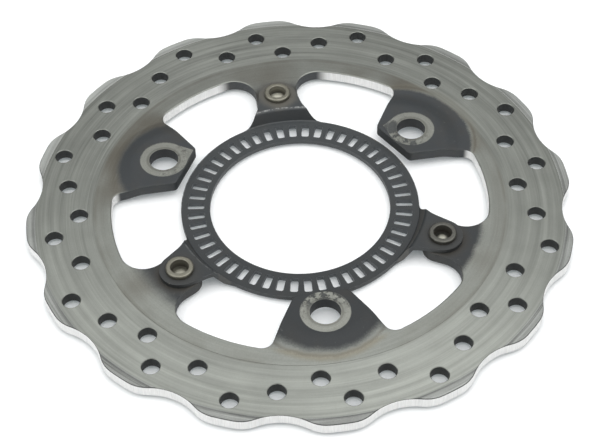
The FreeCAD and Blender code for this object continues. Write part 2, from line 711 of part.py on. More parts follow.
def make_tone_ring():
    body = new_body("tone_ring")
    flat = new_sketch(body, "ring_sketch", height=PLATE_BOTTOM)
    circle(flat, "Sheet.ring_inner_radius")
    circle(flat, "Sheet.ring_outer_radius")
    pad(body, flat, "Sheet.ring_thickness", "flat_ring")

    joggle = new_sketch(body, "joggle_sketch", role="YZ_Plane")
    draw_joggle(joggle)
    blank = revolve(body, joggle, "Revolution", "ear_blank", angle="Sheet.ear_sector")
    trim = new_sketch(body, "ear_trim_sketch")
    draw_ear_trim(trim)
    trimmed = pocket(body, trim, "ear_trim")
    repeat(body, [blank, trimmed], THREE_FOLD, "ears")

    corners = joggle_section()
    outside = (corners[2], corners[6])
    inside = (corners[1], corners[5])
    for places, amount, name in ((outside, "Sheet.bend_outside", "outside_bends"),
                                 (inside, "Sheet.bend_inside", "inside_bends")):
        dress(body, "Fillet", lambda edge: any(ring_edge(edge, place.x, [place.y]) for place in places),
              amount, name)

    slot = new_sketch(body, "slot_sketch", turn="Sheet.slot_phase * 1 deg")
    draw_slot(slot)
    repeat(body, [pocket(body, slot, "slot")], "Sheet.slot_count", "slots")
    rivet_hole = new_sketch(body, "ear_hole_sketch")
    draw_fixing(rivet_hole, "Sheet.rivet_hole_radius", False)
    repeat(body, [pocket(body, rivet_hole, "ear_hole")], THREE_FOLD, "ear_holes")
    return body


# ---- rivets ----

EAR_TOP = PLATE_TOP + " + Sheet.ring_thickness"


def draw_rivet(sketch):
    """Half the section of a rivet: flat head under the disc, shank, and hollow end rolled over."""
    under, seat = evaluate(PLATE_BOTTOM), evaluate(EAR_TOP)
    shank, head, height = size["shank_radius"], size["head_radius"], size["head_height"]
    rim, bore = size["rim_radius"], size["bore_radius"]
    easing, outer, mouth = size["head_easing"], size["rim_easing"], size["bore_easing"]
    crest = seat + size["rim_height"]
    floor = crest - size["bore_depth"]
    crown = floor + size["crown_height"]
    crown_radius = (bore ** 2 + size["crown_height"] ** 2) / (2 * size["crown_height"])

    def point(x, y):
        return FreeCAD.Vector(x, y, 0)

    pieces = outline(sketch, [
        (line(point(0, under - height), point(head - easing, under - height)), True),
        (arc(point(head - easing, under - height + easing), point(head - easing, under - height),
             point(head, under - height + easing)), True),
        (line(point(head, under - height + easing), point(head, under)), False),
        (line(point(head, under), point(shank, under)), False),
        (line(point(shank, under), point(shank, seat)), False),
        (line(point(shank, seat), point(rim, seat)), False),
        (line(point(rim, seat), point(rim, crest - outer)), True),
        (arc(point(rim - outer, crest - outer), point(rim, crest - outer), point(rim - outer, crest)), True),
        (line(point(rim - outer, crest), point(bore + mouth, crest)), True),
        (arc(point(bore + mouth, crest - mouth), point(bore + mouth, crest), point(bore, crest - mouth)), True),
        (line(point(bore, crest - mouth), point(bore, floor)), False),
        (arc(point(0, crown - crown_radius), point(bore, floor), point(0, crown)), False),
        (line(point(0, crown), point(0, under - height)), False),
    ])
    base, eased, head_side, head_top, shaft, seating, rim_side, rim_round, rim_top = pieces[:9]
    mouth_round, bore_side, crowned, axis = pieces[9:]
    for side in (base, head_top, seating, rim_top):
        hold(sketch, "Horizontal", side)
    for side in (head_side, shaft, rim_side, bore_side):
        hold(sketch, "Vertical", side)
    hold(sketch, "PointOnObject", axis, START, Y_AXIS)
    hold(sketch, "PointOnObject", axis, END, Y_AXIS)
    hold(sketch, "PointOnObject", crowned, CENTRE, Y_AXIS)
    drive(sketch, "Radius", "Sheet.head_easing", eased)
    drive(sketch, "Radius", "Sheet.rim_easing", rim_round)
    drive(sketch, "Radius", "Sheet.bore_easing", mouth_round)
    drive(sketch, "DistanceX", "Sheet.head_radius", X_AXIS, START, head_side, START)
    drive(sketch, "DistanceX", "Sheet.shank_radius", X_AXIS, START, shaft, START)
    drive(sketch, "DistanceX", "Sheet.rim_radius", X_AXIS, START, rim_side, START)
    drive(sketch, "DistanceX", "Sheet.bore_radius", X_AXIS, START, bore_side, START)
    drive(sketch, "DistanceY", PLATE_BOTTOM, X_AXIS, START, head_top, START)
    drive(sketch, "DistanceY", PLATE_BOTTOM + " - Sheet.head_height", X_AXIS, START, base, START)
    drive(sketch, "DistanceY", EAR_TOP, X_AXIS, START, seating, START)
    rim_level = EAR_TOP + " + Sheet.rim_height"
    drive(sketch, "DistanceY", rim_level, X_AXIS, START, rim_top, START)
    drive(sketch, "DistanceY", rim_level + " - Sheet.bore_depth", X_AXIS, START, bore_side, END)
    drive(sketch, "DistanceY", rim_level + " - Sheet.bore_depth + Sheet.crown_height",
          X_AXIS, START, axis, START)


def make_rivet(number):
    body = new_body("rivet_%d" % number)
    section = new_sketch(body, "rivet_section_%d" % number, role="XZ_Plane")
    draw_rivet(section)
    revolve(body, section, "Revolution", "rivet_turned_%d" % number)
    direction = RIVET_DIRECTION + (number - 1) * FULL_TURN / THREE_FOLD
    for axis, ratio in (("x", "cos"), ("y", "sin")):
        body.setExpression("Placement.Base." + axis,
                           "Sheet.fixing_circle_radius * %s(%g deg)" % (ratio, direction))
    return body


# ---- the whole assembly ----

def check(bodies):
    doc.recompute()
    for item in doc.Objects:
        if "Invalid" in item.State or "Error" in item.State:
            raise ValueError("%s is %s" % (item.Name, item.State))
    for body in bodies:
        if body.Shape.isNull() or not body.Shape.isValid() or len(body.Shape.Solids) != 1:
            raise ValueError("%s isn't one valid solid" % body.Label)


def main():
    bodies = [make_brake_disc(), make_tone_ring()]
    bodies += [make_rivet(number) for number in range(1, THREE_FOLD + 1)]
    check(bodies)
    os.makedirs("parts", exist_ok=True)
    for body in bodies:
        body.Shape.exportStep("parts/%s.step" % body.Label)
        print(body.Label, "%.1f mm3" % body.Shape.Volume)


main()
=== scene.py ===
import math

import bmesh
import bpy
from mathutils import Matrix, Vector


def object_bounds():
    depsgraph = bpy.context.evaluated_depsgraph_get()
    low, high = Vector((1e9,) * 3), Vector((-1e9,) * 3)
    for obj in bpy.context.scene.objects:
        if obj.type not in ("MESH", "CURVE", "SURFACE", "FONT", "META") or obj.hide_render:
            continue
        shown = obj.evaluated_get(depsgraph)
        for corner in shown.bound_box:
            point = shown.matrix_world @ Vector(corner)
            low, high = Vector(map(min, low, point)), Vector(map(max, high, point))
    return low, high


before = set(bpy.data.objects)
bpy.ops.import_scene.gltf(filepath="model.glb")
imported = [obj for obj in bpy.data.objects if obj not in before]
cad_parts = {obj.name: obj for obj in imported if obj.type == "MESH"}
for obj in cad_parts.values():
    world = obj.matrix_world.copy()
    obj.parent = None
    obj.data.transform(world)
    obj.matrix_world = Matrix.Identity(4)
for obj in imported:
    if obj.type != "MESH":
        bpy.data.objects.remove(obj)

# The looks of a lobed motorcycle brake disc with a riveted wheel-speed ring.
# Frame: origin on the wheel axis, +Z outboard. Metres for objects. Inside the materials everything is
# in millimetres, and angles are in degrees round +Z from +X.

cad_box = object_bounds()

MM = 0.001
MOUNTS = (30.0, 150.0, 270.0)   # degrees of the mounting tabs
RIVETS = (90.0, 210.0, 330.0)   # degrees of the riveted arms

# sizes of the part that the materials follow, mm
SWEEP = (83.0, 106.4)       # the pads' path
RIM = 105.1                 # inner limit of the lobed outline
FIXING = 60.0               # circle of the mounting holes and the rivets
SEAT = 9.7                  # radius of a bolt head's seat
BOLT_EDGE = 6.6             # just outside a mounting hole's mouth
SEAT_TOP = 4.86             # just under the seats' height
SEAT_CORNERS = ((150.0, (-39.3, 33.3)), (30.0, (40.8, 33.8)))   # tab's degrees, and x and y of its corner
GOUGE = (54.6, 35.8)        # radius and degrees of the deep chip beside the seat at 30
PRESS = 52.0                # centre of a tab's pressed step, from the axis
PRESS_FOOT = 27.0           # radius of the step's foot about that centre
WINDOW_CORNER = (73.0, 75.4)    # where a window's side runs into its outer arc
WINDOW_ARC = (79.0, 80.0)   # clear outside the windows' arc
SLOTS = (38.7, 45.8)        # ends of the sensor slots
RING_EDGE = 48.15           # outer edge of the flat ring
JOGGLE = (48.8, 50.7)       # slope that steps the ears up
EAR_BEND = 51.5             # crest of the ears' bend
RIVET_BORE = 3.5            # radius of the rivets' hollow
RIVET_RIM = (4.9, 5.5)      # where the rim rolls over to the ear
TAB_MIDDLE = 66.0           # a place in the middle of each tab and arm


# ---- shader arithmetic ----

class Value:
    """A shader socket that can be written in arithmetic."""

    def __init__(self, graph, socket):
        self.graph, self.socket = graph, socket

    def __add__(self, other):
        return self.graph.math("ADD", self, other)

    def __sub__(self, other):
        return self.graph.math("SUBTRACT", self, other)

    def __rsub__(self, other):
        return self.graph.math("SUBTRACT", other, self)

    def __mul__(self, other):
        return self.graph.math("MULTIPLY", self, other)

    def __truediv__(self, other):
        return self.graph.math("DIVIDE", self, other)

    __radd__ = __add__
    __rmul__ = __mul__


class Graph:
    """The nodes of one material."""

    def __init__(self, name):
        self.material = bpy.data.materials.new(name)
        self.material.use_nodes = True
        self.tree = self.material.node_tree
        self.tree.nodes.clear()
        coordinates = self.tree.nodes.new("ShaderNodeTexCoord")
        scaled = self.vector("SCALE", coordinates.outputs["Object"])
        scaled.node.inputs["Scale"].default_value = 1 / MM
        self.place = scaled
        self.x, self.y, self.z = self.parts(scaled)
        self.radius = self.math("SQRT", self.x * self.x + self.y * self.y)
        self.cos, self.sin = self.x / self.radius, self.y / self.radius
        self.upright = self.math("ABSOLUTE", self.parts(coordinates.outputs["Normal"])[2])

    def feed(self, socket, value):
        if isinstance(value, Value):
            value = value.socket
        if isinstance(value, bpy.types.NodeSocket):
            self.tree.links.new(value, socket)
        else:
            socket.default_value = value

    def math(self, operation, *inputs):
        node = self.tree.nodes.new("ShaderNodeMath")
        node.operation = operation
        for socket, value in zip(node.inputs, inputs):
            self.feed(socket, value)
        return Value(self, node.outputs[0])

    def vector(self, operation, *inputs):
        node = self.tree.nodes.new("ShaderNodeVectorMath")
        node.operation = operation
        for socket, value in zip(node.inputs, inputs):
            self.feed(socket, value)
        return node.outputs["Value" if operation == "DISTANCE" else "Vector"]

    def parts(self, socket):
        node = self.tree.nodes.new("ShaderNodeSeparateXYZ")
        self.feed(node.inputs[0], socket)
        return [Value(self, output) for output in node.outputs]

    def combine(self, *values):
        node = self.tree.nodes.new("ShaderNodeCombineXYZ")
        for socket, value in zip(node.inputs, values):
            self.feed(socket, value)
        return node.outputs[0]

    def step(self, value, low, high):
        """0 below low and 1 above high, smoothly. With low above high it falls instead."""
        node = self.tree.nodes.new("ShaderNodeMapRange")
        node.interpolation_type = "SMOOTHSTEP"
        self.feed(node.inputs["Value"], value)
        self.feed(node.inputs["From Min"], min(low, high))
        self.feed(node.inputs["From Max"], max(low, high))
        self.feed(node.inputs["To Min"], 0.0 if low < high else 1.0)
        self.feed(node.inputs["To Max"], 1.0 if low < high else 0.0)
        return Value(self, node.outputs[0])

    def band(self, value, centre, width):
        """A soft hump of height 1 about centre."""
        return self.step(self.math("ABSOLUTE", value - centre), width, 0.0)

    def both(self, *masks):
        result = masks[0]
        for mask in masks[1:]:
            result = result * mask
        return result

    def either(self, *masks):
        result = masks[0]
        for mask in masks[1:]:
            result = self.math("MAXIMUM", result, mask)
        return result

    def noise(self, scale, detail=2.0, roughness=0.5, where=None, seed=0.0, lift=True):
        """Noise about 0.5, or from -1 to 1 with lift off. scale is per millimetre."""
        node = self.tree.nodes.new("ShaderNodeTexNoise")
        node.noise_dimensions = "4D"
        self.feed(node.inputs["Vector"], where or self.place)
        self.feed(node.inputs["W"], seed)
        self.feed(node.inputs["Scale"], scale)
        self.feed(node.inputs["Detail"], detail)
        self.feed(node.inputs["Roughness"], roughness)
        value = Value(self, node.outputs[0])
        return value if lift else (value - 0.5) * 2.0

    def cells(self, scale):
        """Distance to the nearest of scattered points."""
        node = self.tree.nodes.new("ShaderNodeTexVoronoi")
        self.feed(node.inputs["Vector"], self.place)
        self.feed(node.inputs["Scale"], scale)
        return Value(self, node.outputs["Distance"])

    def rings(self, per_mm, sweep, seed, detail=2.0):
        """Noise drawn out round the axis: per_mm across, and about sweep changes a turn."""
        where = self.combine(self.radius * per_mm, self.cos * sweep, self.sin * sweep)
        return self.noise(1.0, detail, 0.55, where, seed, lift=False)

    def nearest(self, centres):
        """Distance in mm, across the disc, to the nearest of these (radius, degrees)."""
        result = None
        for reach, degrees in centres:
            angle = math.radians(degrees)
            across = self.x - reach * math.cos(angle)
            along = self.y - reach * math.sin(angle)
            distance = self.math("SQRT", across * across + along * along)
            result = distance if result is None else self.math("MINIMUM", result, distance)
        return result

    def around(self, *amounts):
        """A number that differs from one tab to the next, as (degrees, amount), and is 0 elsewhere."""
        result = 0.0
        for degrees, amount in amounts:
            result = self.step(self.nearest([(TAB_MIDDLE, degrees)]), 31.0, 25.0) * amount + result
        return result

    def corner_wear(self, bolt_radius, degrees, point):
        """1 in the wedge between a bolt's seat and a point of the tab near its corner."""
        angle = math.radians(degrees)
        bolt = Vector((FIXING * math.cos(angle), FIXING * math.sin(angle)))
        aim = Vector(point) - bolt
        reach, (dx, dy) = aim.length, aim.normalized()
        along = (self.x - bolt.x) * dx + (self.y - bolt.y) * dy
        across = self.math("ABSOLUTE", (self.y - bolt.y) * dx - (self.x - bolt.x) * dy)
        lean = bolt_radius / math.sqrt(reach ** 2 - bolt_radius ** 2)
        inside = (reach - along) * lean - across
        touching = bolt_radius ** 2 / reach
        return self.both(self.step(inside, -0.1, 0.3), self.step(along, touching - 0.1, touching + 0.1))

    def mix(self, share, first, second):
        """From first to second, as colours, as share goes from 0 to 1."""
        node = self.tree.nodes.new("ShaderNodeMix")
        node.data_type, node.clamp_factor = "RGBA", True
        self.feed(node.inputs[0], share)
        for index, value in ((6, first), (7, second)):
            if isinstance(value, tuple):
                value = (*value, 1.0)
            self.feed(node.inputs[index], value)
        return node.outputs[2]

    def blend(self, share, first, second):
        """The same for plain numbers."""
        if isinstance(first, Value):
            return first + (second - first) * share
        return share * (second - first) + first

    def shade(self, colour, amount):
        """The colour made lighter or darker by a factor."""
        scaled = self.vector("SCALE", colour)
        self.feed(scaled.node.inputs["Scale"], amount)
        return scaled

    def worn_edge(self, reach_mm):
        """1 on edges sharper than the bevel of this size, 0 on flats."""
        bevel = self.tree.nodes.new("ShaderNodeBevel")
        bevel.samples = 6
        bevel.inputs["Radius"].default_value = reach_mm * MM
        flat = self.tree.nodes.new("ShaderNodeNewGeometry").outputs["Normal"]
        return Value(self, self.vector("DISTANCE", bevel.outputs[0], flat))

    def finish(self, colour, metallic, roughness, height_mm, specular=0.5, streak=None, glow=None):
        """Ends the material. height_mm is a relief. streak is how far gloss is drawn across the rings."""
        bump = self.tree.nodes.new("ShaderNodeBump")
        bump.inputs["Distance"].default_value = MM
        bump.inputs["Strength"].default_value = 1.0
        self.feed(bump.inputs["Height"], height_mm)
        shader = self.tree.nodes.new("ShaderNodeBsdfPrincipled")
        self.feed(shader.inputs["Base Color"], colour)
        self.feed(shader.inputs["Metallic"], metallic)
        self.feed(shader.inputs["Roughness"], roughness)
        self.feed(shader.inputs["Specular IOR Level"], specular)
        if glow is not None:
            shader.inputs["Emission Color"].default_value = (*glow, 1.0)
            shader.inputs["Emission Strength"].default_value = 1.0
        self.feed(shader.inputs["Normal"], bump.outputs[0])
        if streak is not None:
            tangent = self.tree.nodes.new("ShaderNodeTangent")
            tangent.direction_type, tangent.axis = "RADIAL", "Z"
            self.feed(shader.inputs["Tangent"], tangent.outputs[0])
            self.feed(shader.inputs["Anisotropic"], streak)
            shader.inputs["Anisotropic Rotation"].default_value = 0.25
        output = self.tree.nodes.new("ShaderNodeOutputMaterial")
        self.tree.links.new(shader.outputs[0], output.inputs["Surface"])
        return self.material


# ---- materials ----

BARE = (0.254, 0.265, 0.243)            # ground stainless brake steel
BARE_TIP = (0.35, 0.362, 0.345)         # lobe tips, outside the pads' path
HEAT_TINT = (0.146, 0.138, 0.116)       # baked dust at the foot of the track, where it also paints the shade of the pads' wear step
TAN = (0.235, 0.222, 0.175)             # rubbed edge of the coating
CUT_WALL_PAINTED_LIGHT = (0.80, 0.80, 0.79)          # laser-cut walls, painted near white as painted light
RIM_PAINTED_REFLECTION = (0.060, 0.064, 0.064)       # painted dark reflection on the rim's chamfer
COATING = (0.024, 0.028, 0.0305)        # satin slate coating of the tabs
PAINTED_SHADE_BLACK = (0.026, 0.028, 0.029)       # painted shade: near black for the walls of the holes and the step up to the ears
SEAT_METAL = (0.285, 0.292, 0.264)      # bare metal under the bolt heads
GRIME = (0.035, 0.030, 0.022)           # oily dirt
RING_COATING = (0.0205, 0.0245, 0.0265)
RING_RUBBED = (0.22, 0.235, 0.245)      # rubbed edges of the ring
RING_BEND_HIGHLIGHT = (0.30, 0.31, 0.30)          # painted highlight along the ring's bends
RING_LIP_HIGHLIGHT = ((0.30, 0.31, 0.31), (0.13, 0.11, 0.085))    # painted highlight on the edge beside a tab: grey, and brown at 30
RING_DUST = ((0.040, 0.039, 0.035), (0.105, 0.098, 0.078))  # dust round the rivets, and more of it at 90
RING_SPECKS = (0.20, 0.19, 0.16)        # splashes
SLOPE_PAINTED_LIGHT = (0.085, 0.082, 0.074)      # painted light on the step up to the ears
SLOT_WALL_PAINTED_LIGHT = (0.085, 0.094, 0.100)       # walls of the sensor slots, painted lighter than the coating as painted light
ZINC = (0.225, 0.219, 0.182)            # yellowed plating of the rivets
ZINC_DULL = (0.17, 0.155, 0.115)        # the same, dull
ZINC_GREY = (0.205, 0.205, 0.190)       # the greyer rivet at 330
HOLLOW_DUST_AND_HIGHLIGHT = (0.60, 0.59, 0.50)         # floor of the hollows: a painted highlight, with pale dust at 90
RUST = (0.075, 0.052, 0.030)
PAPER = (0.87, 0.87, 0.87)
PAPER_GLOW = (0.140, 0.156, 0.162)

# Baked dust and rubbed-off coating inside the track: (radius mm, degrees, reach mm, strength)
STAINS = (
    (78.0, 47.0, 13.0, 0.85),
    (76.0, 62.0, 10.0, 0.45),
    (74.0, 90.0, 16.0, 0.60),
    (77.0, 100.0, 12.0, 0.35),
    (78.0, 136.0, 12.0, 0.70),
    (80.0, 152.0, 12.0, 0.75),
    (78.0, 168.0, 11.0, 0.50),
    (76.0, 206.0, 12.0, 0.55),
    (78.0, 14.0, 9.0, 0.45),
    (76.0, 326.0, 10.0, 0.30),
)


def disc_material():
    """Ground steel, coated tabs, bare seats, and cut walls."""
    g = Graph("disc_steel")
    press = g.nearest([(PRESS, degrees) for degrees in MOUNTS])
    bolt = g.nearest([(FIXING, degrees) for degrees in MOUNTS])
    rivet = g.nearest([(FIXING, degrees) for degrees in RIVETS])
    flat = g.step(g.upright, 0.80, 0.93)
    wall = g.step(g.upright, 0.60, 0.35)
    blotch = g.noise(0.12, 3.0, seed=1.0, lift=False)
    patch = g.noise(0.05, 3.0, 0.6, seed=1.5, lift=False)
    grain = g.noise(1.6, 4.0, 0.62, seed=2.0, lift=False)
    speck = g.noise(5.0, 3.0, 0.6, seed=2.5, lift=False)

    # the track, polished in rings by the pads
    swept = g.both(g.step(g.radius, SWEEP[0] - 0.15, SWEEP[0] + 0.15),
                   g.step(g.radius, SWEEP[1] + 0.15, SWEEP[1] - 0.15), flat)
    fine = g.rings(2.8, 3.0, 11.0, 3.0)
    medium = g.rings(1.1, 2.2, 12.0, 3.0)
    broad = g.rings(0.30, 1.2, 13.0)
    worn_bands = (g.band(g.radius, 92.5, 1.4) + g.band(g.radius, 98.6, 1.1) + g.band(g.radius, 102.2, 1.5)
                  - g.band(g.radius, 96.6, 1.3) - g.band(g.radius, 100.3, 0.9) * 1.2
                  - g.band(g.radius, 104.8, 0.8) * 1.8 - g.band(g.radius, 106.3, 0.5) * 2.2
                  + g.band(g.radius, 86.2, 1.2) * 0.7 - g.band(g.radius, 88.2, 0.8) * 0.8)
    streaky = g.blend(g.step(g.y + patch * 30.0, -40.0, 50.0), 0.60, 1.10)
    tone = 1.0 + broad * 0.24 + (medium * 0.36 + fine * 0.30) * streaky + patch * 0.14 \
        + blotch * 0.08 + grain * 0.08 + worn_bands * (0.08 + patch * 0.05)
    tip_line = g.band(g.radius + patch * 0.6, 107.2, 0.8) * 0.28
    # painted reflection: the tips are painted lighter towards +Y, with a painted highlight towards 120
    # degrees
    tip_painted_highlight = g.step(g.y * 0.87 - g.x * 0.5, 60.0, 105.0) * 0.32
    tip_tone = 0.80 + g.step(g.y, -60.0, 90.0) * 0.26 + grain * 0.16 + medium * 0.60 + fine * 0.40 \
        + blotch * 0.14 - tip_line + tip_painted_highlight
    inner_tone = 0.98 + medium * 0.16 + fine * 0.10 + grain * 0.16 + blotch * 0.12
    # painted sheen: the track is painted up to 13 per cent lighter towards -X and -Y
    painted_sheen = g.step(g.x * -0.5 - g.y * 0.87, 0.0, 90.0) * 0.13 + 1.0
    outside = g.step(g.radius, SWEEP[1] - 0.2, SWEEP[1] + 0.2)
    steel = g.mix(outside, g.shade(BARE, g.blend(swept, inner_tone, tone) * painted_sheen),
                  g.shade(BARE_TIP, tip_tone))

    # the dark line at the track's foot is partly brown dust and partly painted shade of the pads' wear
    # step
    foot = g.either(g.band(g.radius + medium * 0.5, 82.6, 1.7),
                    g.band(g.radius + blotch * 1.5, 80.0, 3.5) * 0.45)
    tinted = g.both(foot, g.step(patch, -0.55, 0.30), flat, 1.0 - g.around((270.0, 0.9)))
    steel = g.mix(tinted * 0.52, steel, HEAT_TINT)
    inside_track = g.both(g.step(g.radius, 84.8, 81.8), flat)
    for reach, degrees, spread, strength in STAINS:
        near = g.nearest([(reach, degrees)]) + blotch * 3.0 + grain * 1.2
        steel = g.mix(g.both(g.step(near, spread, 0.0), inside_track) * strength, steel, HEAT_TINT)

    # the coating of the tabs, ground off where the plate was finished
    fade = blotch * 1.2 + grain * 0.9 + speck * 0.3
    tab_reach = press + fade + g.around((270.0, 1.0), (30.0, -4.3), (150.0, 0.4)) - PRESS_FOOT
    on_tab = g.step((tab_reach + 0.3) * (g.around((30.0, 1.2), (270.0, -0.25)) + 1.0), 2.0, -2.0)
    arm_reach = g.radius + fade + g.around((90.0, 4.5), (330.0, -1.7)) - 72.2
    on_arm = g.step(arm_reach * (g.around((330.0, 1.6)) + 1.0), 4.2, -4.2)
    tan = g.both(g.band(tab_reach, 2.0, 3.2), g.step(g.radius, 74.5, 77.0), flat)
    steel = g.mix(tan * g.around((270.0, 0.85), (30.0, 0.25)), steel, TAN)
    line = g.both(g.band(tab_reach, 1.4, 1.2), g.around((30.0, 0.8), (270.0, 0.6)))
    scorch = g.both(g.step(press + fade * 1.5, PRESS_FOOT + 9.0, PRESS_FOOT + 0.5),
                    g.around((150.0, 0.95)), g.step(medium + fine * 0.6, -0.45, 0.25) * 0.5 + 0.5)
    brown = g.both(g.either(scorch, line), flat, g.step(g.radius, 85.0, 81.5))
    steel = g.mix(brown, steel, HEAT_TINT)
    window_wall = g.both(wall, g.step(g.radius, WINDOW_ARC[1], WINDOW_ARC[0]))
    by_tab = g.either(g.step(g.radius, WINDOW_CORNER[1], WINDOW_CORNER[0]), g.step(rivet, 27.5, 23.0))
    tab_wall = g.both(window_wall, by_tab)
    coated = g.either(g.both(g.either(on_tab, on_arm), 1.0 - wall), tab_wall)
    scuff = g.both(g.step(g.noise(0.55, 5.0, 0.7, seed=4.0), 0.60, 0.78), g.step(g.radius, 60.0, 74.0))
    coated = g.both(coated, 1.0 - scuff * 0.35)
    # painted shade: the coating is painted darker towards -Y and lighter towards +Y
    coat = g.shade(g.mix(g.step(blotch, -0.2, 0.6) * 0.4, COATING, GRIME),
                   1.0 + grain * 0.22 + speck * 0.12 + g.y * 0.003)
    colour = g.mix(coated, steel, coat)

    edge = g.step(g.worn_edge(0.5), 0.12, 0.55)
    rubbed = g.both(edge, coated, g.step(g.noise(0.9, 3.0, seed=5.0), 0.36, 0.58)) * 0.6
    colour = g.mix(rubbed, colour, BARE)

    dirt = g.both(g.step(rivet + blotch * 1.6 + grain * 0.8, 12.5, 7.0), 1.0 - wall * 0.5)
    colour = g.mix(dirt * 0.75, colour, GRIME)

    # where the bolt heads sat: bare and ringed, with bare corners, chipped and black towards the axis
    on_top = g.step(g.z, SEAT_TOP - 0.16, SEAT_TOP)
    pressed = g.either(g.step(bolt + grain * 0.35, SEAT + 0.2, SEAT - 0.2),
                       *(g.corner_wear(SEAT - 0.1, *corner) for corner in SEAT_CORNERS))
    seat = g.both(pressed, on_top, flat)
    lean = g.radius + g.noise(0.16, 2.0, seed=6.0, lift=False) * 5.0
    pitted = g.step(g.noise(0.42, 5.0, 0.68, seed=7.0), 0.46, 0.54)
    ragged = g.noise(0.5, 3.0, seed=7.2, lift=False) * 3.0
    gouge = g.step(g.nearest([GOUGE]) + ragged, 4.4, 3.2)
    chips = g.either(g.both(pitted, g.step(lean, 61.0, 53.5), 1.0 - g.around((150.0, 0.75))), gouge)
    stains = g.both(g.step(g.noise(0.7, 4.0, 0.7, seed=7.5), 0.50, 0.68), g.step(lean, 70.0, 56.0))
    seat_rings = g.noise(1.0, 3.0, 0.6, g.combine(bolt * 3.5, g.x * 0.08, g.y * 0.08), 8.0, lift=False)
    seat_metal = g.shade(g.mix(g.step(speck, -0.1, 0.7) * 0.3, SEAT_METAL, GRIME),
                         1.0 + seat_rings * 0.30 + grain * 0.20 + blotch * 0.12)
    seat_metal = g.mix(stains * 0.5, seat_metal, GRIME)
    seat_metal = g.mix(g.band(bolt, BOLT_EDGE, 0.9) * 0.35, seat_metal, GRIME)
    bare_seat = g.both(seat, 1.0 - chips * 0.88)
    colour = g.mix(bare_seat, colour, seat_metal)

    # cut walls: the holes' walls are painted black as shade, the outline and the windows' arcs are
    # painted near white as painted light
    on_rim = g.step(g.radius, RIM - 0.05, RIM + 0.05)
    chamfer = g.both(g.step(g.upright, 0.45, 0.65), g.step(g.upright, 0.88, 0.78),
                     g.step(g.radius, 79.0, 82.0))
    drilled = g.both(wall, g.step(g.radius, 82.0, 84.0), g.step(g.radius, RIM + 0.05, RIM - 0.05))
    bolt_wall = g.both(wall, g.step(bolt, BOLT_EDGE + 0.8, BOLT_EDGE + 0.4))
    painted_shade_wall = g.either(drilled, bolt_wall)
    outline = g.either(g.both(wall, on_rim), g.both(window_wall, 1.0 - by_tab))
    striae = g.noise(1.0, 3.0, 0.6, g.combine(g.x * 2.4, g.y * 2.4, g.z * 0.15), 9.0, lift=False)
    # painted light: the chamfers get a lighter copy of the track steel
    colour = g.mix(chamfer * 0.5, colour, g.shade(BARE, 1.15))
    # painted reflection: the rim's chamfer is painted dark
    colour = g.mix(g.both(chamfer, on_rim) * 0.85, colour, RIM_PAINTED_REFLECTION)
    # painted shade: the walls of the drilled holes and the bolt holes are painted near black
    colour = g.mix(painted_shade_wall * 0.92, colour, PAINTED_SHADE_BLACK)
    # painted light: the walls of the outline and the windows are painted near white
    colour = g.mix(outline, colour, g.shade(CUT_WALL_PAINTED_LIGHT, 0.95 + striae * 0.22 + blotch * 0.08))

    metallic = g.both(1.0 - coated, 1.0 - dirt * 0.7, 1.0 - painted_shade_wall * 0.8, 1.0 - outline * 0.5)
    metallic = g.either(metallic, bare_seat, rubbed)
    rough = g.blend(swept, 0.46 + blotch * 0.05, 0.37 + medium * 0.06 + fine * 0.06)
    rough = g.blend(g.either(coated, dirt, wall), rough, 0.60 + grain * 0.08)
    rough = g.blend(bare_seat, rough, 0.45)
    height = swept * (fine * 0.008 + medium * 0.020 + broad * 0.03) + (1.0 - swept) * grain * 0.010 \
        + coated * speck * 0.006 + bare_seat * seat_rings * 0.012 - chips * seat * 0.12 \
        + outline * striae * 0.03
    # painted sheen: the specular level rises towards +Y
    return g.finish(colour, metallic, rough, height, specular=g.y * 0.001 + 0.5, streak=swept * 0.6)


